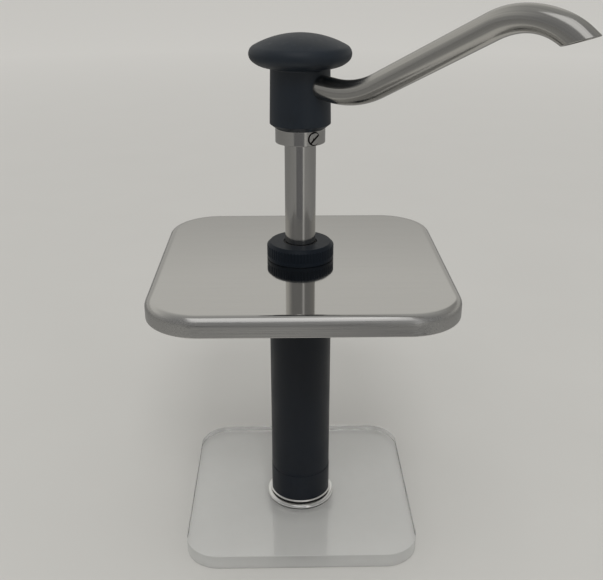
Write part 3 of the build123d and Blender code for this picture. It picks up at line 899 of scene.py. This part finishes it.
class PUMP_OT_add_spring(PumpOperator, bpy.types.Operator):
    """Add the return spring, which closes up when the knob is pressed"""

    bl_idname = "pump.add_spring"
    bl_label = "Return Spring"

    sides, steps_per_turn = 16, 40

    def execute(self, context):
        sizes = context.scene.pump_sizes
        low, high = foot_of("return_spring"), head_of("return_spring")
        wire, last = sizes.spring_wire, sizes.spring_turns * self.steps_per_turn
        middle = reach("return_spring") - wire
        pitch = (high - low - 2 * wire) / sizes.spring_turns

        def section(step):
            """The wire's middle after so many steps, and points round it."""
            turn = tau * step / self.steps_per_turn
            out = Vector((cos(turn), sin(turn), 0))
            line = Vector((-tau * middle * sin(turn), tau * middle * cos(turn), pitch))
            up = line.normalized().cross(out)
            rise = low + wire + pitch * step / self.steps_per_turn
            centre = out * middle + Vector((0, 0, rise))
            turns = [tau * k / self.sides for k in range(self.sides)]
            return centre, [centre + out * (wire * cos(a)) + up * (wire * sin(a)) for a in turns]

        start, end = ([section(step)[0]] * self.sides for step in (0, last))
        rows = [start, *(section(step)[1] for step in range(last + 1)), end]
        piece = place(
            skin("return_spring_wound", rows, closed=False),
            "spring wire", "pump", "spring_steel", "return_spring",
        )
        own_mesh(piece)
        return {"FINISHED"}


class PUMP_OT_add_knob(PumpOperator, bpy.types.Operator):
    """Add the black mushroom knob with its tapered neck"""

    bl_idname = "pump.add_knob"
    bl_label = "Knob"

    bore, bore_top = 0.01253, 0.30998

    def execute(self, context):
        sizes = context.scene.pump_sizes
        low, high = foot_of("knob"), head_of("knob")
        under = low + sizes.knob_neck_height
        corner = Vector((sizes.knob_corner_reach, under + sizes.knob_corner_height))
        root = Vector((sizes.knob_neck_head + sizes.knob_flat, under))
        rim = sizes.knob_rim

        def level_arc(start):
            """Centre and radius of the arc that leaves a point level and ends at the corner."""
            across, rise = corner.x - start.x, corner.y - start.y
            radius = (across**2 + rise**2) / (2 * abs(rise))
            return Vector((start.x, start.y + (radius if rise > 0 else -radius))), radius

        dome_centre, dome = level_arc(Vector((0, high)))
        belly_centre, belly = level_arc(root)
        apart = belly_centre - dome_centre
        far, near = dome - rim, belly - rim
        along = (apart.length_squared + far**2 - near**2) / (2 * apart.length)
        aside = sqrt(far**2 - along**2)
        line = apart.normalized()
        rim_centre = dome_centre + line * along + Vector((line.y, -line.x)) * aside
        out = (rim_centre - dome_centre).normalized()
        into = (rim_centre - belly_centre).normalized()
        top_turn, low_turn = atan2(out.y, out.x), atan2(into.y, into.x)
        outline = arc(dome_centre, dome, pi / 2, top_turn, 28)
        outline += arc(rim_centre, rim, top_turn, low_turn, 18)[1:]
        outline += arc(belly_centre, belly, low_turn, -pi / 2, 10)[1:]
        rest = [
            (*root, 0),
            (sizes.knob_neck_head, under, sizes.knob_root),
            (sizes.knob_neck_foot, low + sizes.knob_slope_height, 0.0004),
            (sizes.knob_neck_foot - sizes.knob_slope_width, low, EASED),
            (self.bore, low, 0.0003),
            (self.bore, self.bore_top, 0.0005),
            (0, self.bore_top, 0),
        ]
        outline += rounded(rest, closed=False)[1:]
        place(
            turned("knob_moulded", outline, closed=False),
            "black knob moulding", "plunger", "black_plastic", "knob",
        )
        return {"FINISHED"}


class PUMP_OT_add_spout(PumpOperator, bpy.types.Operator):
    """Add the bent steel spout, cut slantwise at its mouth"""

    bl_idname = "pump.add_spout"
    bl_label = "Spout"

    # The middle line's corners, outwards from the axis and up from the spout's height, and the
    # radii of its two bends
    corners = ((0.0094, -0.00076), (0.0433, -0.0035), (0.1488, 0.0510), (0.1701, 0.0355))
    bends = (0.060, 0.0425)
    columns, station, slanted_part = 72, 0.0018, 0.016
    flattening, flaring, flare_length = 0.06, 0.07, 0.020
    lip_steps, lip_bulge = 8, 0.45
    # How far to each side of the line's end the mouth's cut is looked for, and in how many steps
    cut_reach, cut_steps = 0.012, 30

    def runs(self):
        """Straight runs and arcs of the middle line: length, start, heading, curvature."""
        points = [Vector(point) for point in self.corners]
        found, start = [], points[0]
        for k, bend in enumerate(self.bends):
            before = (points[k + 1] - points[k]).normalized()
            after = (points[k + 2] - points[k + 1]).normalized()
            turn = atan2(before.cross(after), before.dot(after))
            cut = bend * tan(abs(turn) / 2)
            heading = atan2(before.y, before.x)
            entry = points[k + 1] - before * cut
            found.append(((entry - start).length, start, heading, 0.0))
            found.append((bend * abs(turn), entry, heading, turn / abs(turn) / bend))
            start = points[k + 1] + after * cut
        last = (points[-1] - points[-2]).normalized()
        found.append(((points[-1] - start).length, start, atan2(last.y, last.x), 0.0))
        return found

    def at(self, runs, travelled):
        """Point and heading of the middle line after a distance; the last run goes on."""
        for k, (size, start, heading, curve) in enumerate(runs):
            if travelled <= size or k == len(runs) - 1:
                if curve == 0:
                    return start + Vector((cos(heading), sin(heading))) * travelled, heading
                turned_to = heading + curve * travelled
                step = Vector((sin(turned_to) - sin(heading), cos(heading) - cos(turned_to)))
                return start + step / curve, turned_to
            travelled -= size
        raise ValueError("the spout has no runs")

    def execute(self, context):
        sizes = context.scene.pump_sizes
        radius, wall = sizes.spout_radius, sizes.spout_wall
        root = foot_of("knob") + sizes.spout_height
        runs = self.runs()
        whole = sum(run[0] for run in runs)
        bend_start = sum(run[0] for run in runs[:3])
        bend_length = runs[3][0]
        out = Vector((cos(sizes.spout_turn), sin(sizes.spout_turn), 0))
        side = out.cross(Vector((0, 0, 1)))
        end = Vector(self.corners[-1])
        cut = Vector((-sin(sizes.spout_cut), cos(sizes.spout_cut)))
        turns = [tau * k / self.columns for k in range(self.columns)]

        def thickness(travelled):
            """How much the bending has flattened the tube, and how its mouth is flared."""
            in_bend = max(0.0, min(1.0, (travelled - bend_start) / bend_length))
            flare = (travelled - whole + self.flare_length) / self.flare_length
            flare = max(0.0, min(1.0, flare))
            flattened = 1 - self.flattening * sin(pi * in_bend) ** 2
            return flattened + self.flaring * flare**2 * (3 - 2 * flare)

        def flat_point(travelled, turn, distance):
            """A point of the tube in the spout's plane, and how far it is aside of the plane."""
            middle, heading = self.at(runs, travelled)
            up = Vector((-sin(heading), cos(heading)))
            tall = thickness(travelled)
            return middle + up * (distance * tall * cos(turn)), distance * (2 - tall) * sin(turn)

        def mouth(turn, distance):
            """How far along the middle line the cut meets the tube's wall in that direction."""
            low, high = whole - self.cut_reach, whole + self.cut_reach
            for _ in range(self.cut_steps):
                middle = (low + high) / 2
                point = flat_point(middle, turn, distance)[0]
                if (point - end).dot(cut) > 0:
                    low = middle
                else:
                    high = middle
            return low

        def solid_point(travelled, turn, distance):
            """The same point in the pump's frame."""
            point, aside = flat_point(travelled, turn, distance)
            return out * point.x + side * aside + Vector((0, 0, root + point.y))

        tip = whole - self.slanted_part
        stations = [0.0]
        while stations[-1] < tip - 0.0015:
            stations.append(min(tip, stations[-1] + self.station))
        lip_turns = [pi * k / self.lip_steps for k in range(self.lip_steps + 1)]
        lip = [
            (wall * (1 - cos(turn)) / 2, wall * self.lip_bulge * (1 - sin(turn)))
            for turn in lip_turns
        ]
        ends = {inset: [mouth(turn, radius - inset) for turn in turns] for inset, _ in lip}

        def ring(travelled, inset):
            return [solid_point(travelled, turn, radius - inset) for turn in turns]

        def slanted(part, inset, back):
            return [
                solid_point(tip + (stop - back - tip) * part, turn, radius - inset)
                for turn, stop in zip(turns, ends[inset])
            ]

        parts = [k / 10 for k in range(1, 11)]
        (outer, outer_back), (inner, inner_back) = lip[0], lip[-1]
        rows = [ring(travelled, 0.0) for travelled in stations[:-1]]
        rows += [slanted(part, outer, outer_back) for part in [0.0] + parts]
        rows += [slanted(1.0, inset, back) for inset, back in lip[1:-1]]
        rows += [slanted(part, inner, inner_back) for part in parts[::-1] + [0.0]]
        rows += [ring(travelled, wall) for travelled in stations[-2::-1]]
        place(
            skin("spout_bent_tube", rows),
            "satin steel spout", "plunger", "polished_steel", "spout", sharp=60,
        )
        return {"FINISHED"}


class PUMP_OT_finish_nodes(PumpOperator, bpy.types.Operator):
    """Give the pieces that keep their CAD shape their finishes"""

    bl_idname = "pump.finish_nodes"
    bl_label = "Other Finishes"

    finishes = {
        "black rubber": (
            "foot_seal", "housing_seal", "piston_rings", "wiper_seal", "plate_gasket", "tube_seal",
        ),
        "black barrel tube": ("inlet_spigot",),
        "white acetal": ("spring_washer", "piston", "guide_sleeve"),
        "satin turned steel": (
            "inlet_seat", "inlet_ball", "inlet_ball_stop", "discharge_ball", "discharge_ball_stop",
        ),
        "slotted screw steel": ("hub_screw",),
        "turned hub steel": ("spout_hub",),
    }

    def execute(self, context):
        for name, nodes in self.finishes.items():
            for node in nodes:
                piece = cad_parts[node]
                for slot in piece.material_slots:
                    slot.material = finish_named(name)
                if not piece.material_slots:
                    piece.data.materials.append(finish_named(name))
        return {"FINISHED"}


# Studio


class PUMP_OT_add_studio(PumpOperator, bpy.types.Operator):
    """Add the floor, the soft lamps, the cards that only shiny pieces show, and the camera"""

    bl_idname = "pump.add_studio"
    bl_label = "Studio"

    floor_half, floor_height, card_height = 6.0, -0.0002, 0.002
    # Name, colour, and corners seen from above
    cards = (
        (
            "dark_card", (0.13, 0.13, 0.135),
            ((-1.15, -2.0), (0.62, -2.0), (0.17, -0.54), (-0.31, -0.54)),
        ),
        (
            "pale_card", (0.47, 0.47, 0.46),
            ((0.64, -2.0), (1.10, -2.0), (0.295, -0.54), (0.175, -0.54)),
        ),
        (
            "near_card", (0.15, 0.15, 0.155),
            ((0.03, -0.42), (0.30, -0.42), (0.30, -0.22), (0.03, -0.27)),
        ),
    )
    # Name, place, what it points at, width, height, power, and whether shiny pieces show it
    lamps = (
        ("overhead_lamp", (0.2, -0.72, 1.52), (0, 0, 0.15), 1.4, 1.4, 1.3, False),
        ("shine_lamp", (-0.16, -0.72, 1.52), (-0.16, 0, 0.15), 0.9, 1.4, 2.4, True),
        ("front_lamp", (0.12, -1.735, 2.03), (0, 0, 0.1), 0.7, 0.7, 15.0, False),
    )
    camera_place = (-0.0086, -0.4863, 0.3754)
    camera_turn = (radians(66.84), 0, radians(-1.1))

    def add(self, name, data):
        """Put new data in the scene as an object."""
        thing = bpy.data.objects.new(name, data)
        bpy.context.scene.collection.objects.link(thing)
        return thing

    def board(self, name, corners, colour, far=None, painted_far_light=None):
        """A flat board between four corners, in one colour and perhaps others further off, where it is
        painted paler with distance as painted light.
        """
        finish, tree = new_finish(name)
        tone = varied(tree, noise(tree, object_point(tree), 8.0, 2.0), colour, 0.99, 1.01)
        if far is not None:
            distance = measure(tree, "LENGTH", object_point(tree, (1, 1, 0)))
            shiny = add_node(tree, "ShaderNodeLightPath").outputs["Is Glossy Ray"]
            away = spread(tree, distance, 0.0, 1.0, 0.26, 0.42)
            # Painted light: the floor grows paler further off, towards the painted far-light colour
            paler = spread(tree, distance, 0.05, 1.0, 0.25, 2.7)
            tone = blend_colour(tree, paler, tone, painted_far_light)
            tone = blend_colour(tree, calculate(tree, "MULTIPLY", away, shiny), tone, far)
        surface(tree, {"Base Color": tone, "Roughness": 0.8, "Specular IOR Level": 0.2})
        mesh = bpy.data.meshes.new(name)
        mesh.from_pydata(corners, [], [(0, 1, 2, 3)])
        mesh.materials.append(finish)
        board = self.add(name, mesh)
        return board

    def world(self, studio):
        """Pale walls behind the pump and a dimmer room in front, and even light from all round."""
        backdrop, room = studio.backdrop, studio.room
        world = bpy.data.worlds.new("Studio")
        world.use_nodes = True
        tree = world.node_tree
        tree.nodes.clear()
        where = add_node(tree, "ShaderNodeTexCoord").outputs["Generated"]
        apart = add_node(tree, "ShaderNodeSeparateXYZ", {"Vector": where}).outputs
        height = spread(tree, apart["Z"], 0.0, 1.0, 0.29, 0.375)
        aside = calculate(tree, "ARCTAN2", apart["X"], apart["Y"])
        dim = spread(tree, aside, 0.0, 1.0, radians(26), radians(36))
        upper = blend_colour(tree, dim, shade(backdrop, 1.06), shade(backdrop, 0.5))
        wall = blend_colour(tree, height, shade(backdrop, 0.76), upper)
        overhead = spread(tree, apart["Z"], 0.0, 1.0, 0.55, 0.85)
        above = blend_colour(tree, overhead, wall, studio.ceiling)
        forward = calculate(tree, "MULTIPLY", apart["Y"], -1)
        turn = calculate(tree, "ARCTAN2", apart["X"], forward)
        opening = calculate(
            tree, "MULTIPLY",
            spread(tree, turn, 0.0, 1.0, radians(15), radians(18)),
            spread(tree, turn, 1.0, 0.0, radians(26), radians(34)),
        )
        front = blend_colour(tree, opening, room, shade(room, 2.6))
        behind = spread(tree, apart["Y"], 0.0, 1.0, -0.35, 0.35)
        walls = blend_colour(tree, behind, front, above)
        rays = add_node(tree, "ShaderNodeLightPath").outputs
        shiny = calculate(tree, "MAXIMUM", rays["Is Glossy Ray"], rays["Is Transmission Ray"])
        seen = calculate(tree, "MAXIMUM", shiny, rays["Is Camera Ray"])
        before_floor = calculate(tree, "LESS_THAN", rays["Diffuse Depth"], 0.5)
        direct = calculate(tree, "MULTIPLY", seen, before_floor)
        pick = blend_colour(tree, rays["Is Camera Ray"], walls, backdrop)
        even = {"Color": (1.0, 0.99, 0.97, 1), "Strength": studio.even_light}
        mix = add_node(tree, "ShaderNodeMixShader", {
            "Fac": direct,
            1: add_node(tree, "ShaderNodeBackground", even).outputs["Background"],
            2: add_node(tree, "ShaderNodeBackground", {"Color": pick}).outputs["Background"],
        })
        add_node(tree, "ShaderNodeOutputWorld", {"Surface": mix.outputs["Shader"]})
        bpy.context.scene.world = world

    def execute(self, context):
        studio, scene = context.scene.pump_studio, context.scene
        half, below = self.floor_half, self.floor_height
        ground = [(-half, -half), (half, -half), (half, half), (-half, half)]
        corners = [(x, y, below) for x, y in ground]
        self.board("floor", corners, studio.floor, studio.far_floor, studio.painted_far_light)
        for name, colour, outline in self.cards:
            card = self.board(name, [(x, y, self.card_height) for x, y in outline], colour)
            card.visible_camera = False
            card.visible_diffuse = False
            card.visible_shadow = False
            card.visible_transmission = False
        self.world(studio)
        for name, stand, aim, across, tall, power, mirrored in self.lamps:
            light = bpy.data.lights.new(name, "AREA")
            light.shape, light.energy = "RECTANGLE", power
            light.size, light.size_y = across, tall
            lamp = self.add(name, light)
            lamp.location = stand
            lamp.rotation_euler = (Vector(aim) - Vector(stand)).to_track_quat("-Z", "Y").to_euler()
            lamp.visible_glossy = mirrored
        camera = self.add("camera", bpy.data.cameras.new("camera"))
        camera.data.lens, camera.data.sensor_width = studio.lens, 36.0
        camera.data.clip_start = 0.01
        camera.location, camera.rotation_euler = self.camera_place, self.camera_turn
        scene.camera = camera
        scene.view_settings.view_transform = "Standard"
        return {"FINISHED"}


class PUMP_PT_sidebar(bpy.types.Panel):
    """Lists the pump's pieces, sizes and colours"""

    bl_idname = "PUMP_PT_sidebar"
    bl_label = "Dispenser Pump"
    bl_space_type = "VIEW_3D"
    bl_region_type = "UI"
    bl_category = "Dispenser Pump"

    def draw(self, context):
        column = self.layout.column()
        for operator in OPERATORS:
            column.operator(operator.bl_idname)
        for name in GROUPS:
            group = getattr(context.scene, name)
            box = self.layout.box()
            box.label(text=name.replace("pump_", "").title())
            for part in group.__annotations__:
                box.prop(group, part)


OPERATORS = (
    PUMP_OT_add_studio,
    PUMP_OT_add_block,
    PUMP_OT_add_foot,
    PUMP_OT_add_barrel,
    PUMP_OT_add_plate,
    PUMP_OT_add_nut,
    PUMP_OT_add_tube,
    PUMP_OT_add_spring,
    PUMP_OT_add_knob,
    PUMP_OT_add_spout,
    PUMP_OT_finish_nodes,
)
GROUPS = {"pump_sizes": PumpSizes, "pump_colours": PumpColours, "pump_studio": PumpStudio}


def register():
    for kind in (*GROUPS.values(), *OPERATORS, PUMP_PT_sidebar):
        bpy.utils.register_class(kind)
    for name, group in GROUPS.items():
        setattr(bpy.types.Scene, name, bpy.props.PointerProperty(type=group))


def unregister():
    for name in GROUPS:
        delattr(bpy.types.Scene, name)
    for kind in (PUMP_PT_sidebar, *reversed(OPERATORS), *reversed(GROUPS.values())):
        bpy.utils.unregister_class(kind)


def main():
    """Register the classes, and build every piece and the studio."""
    register()
    for operator in OPERATORS:
        category, action = operator.bl_idname.split(".")
        getattr(getattr(bpy.ops, category), action)()


if __name__ == "__main__":
    main()
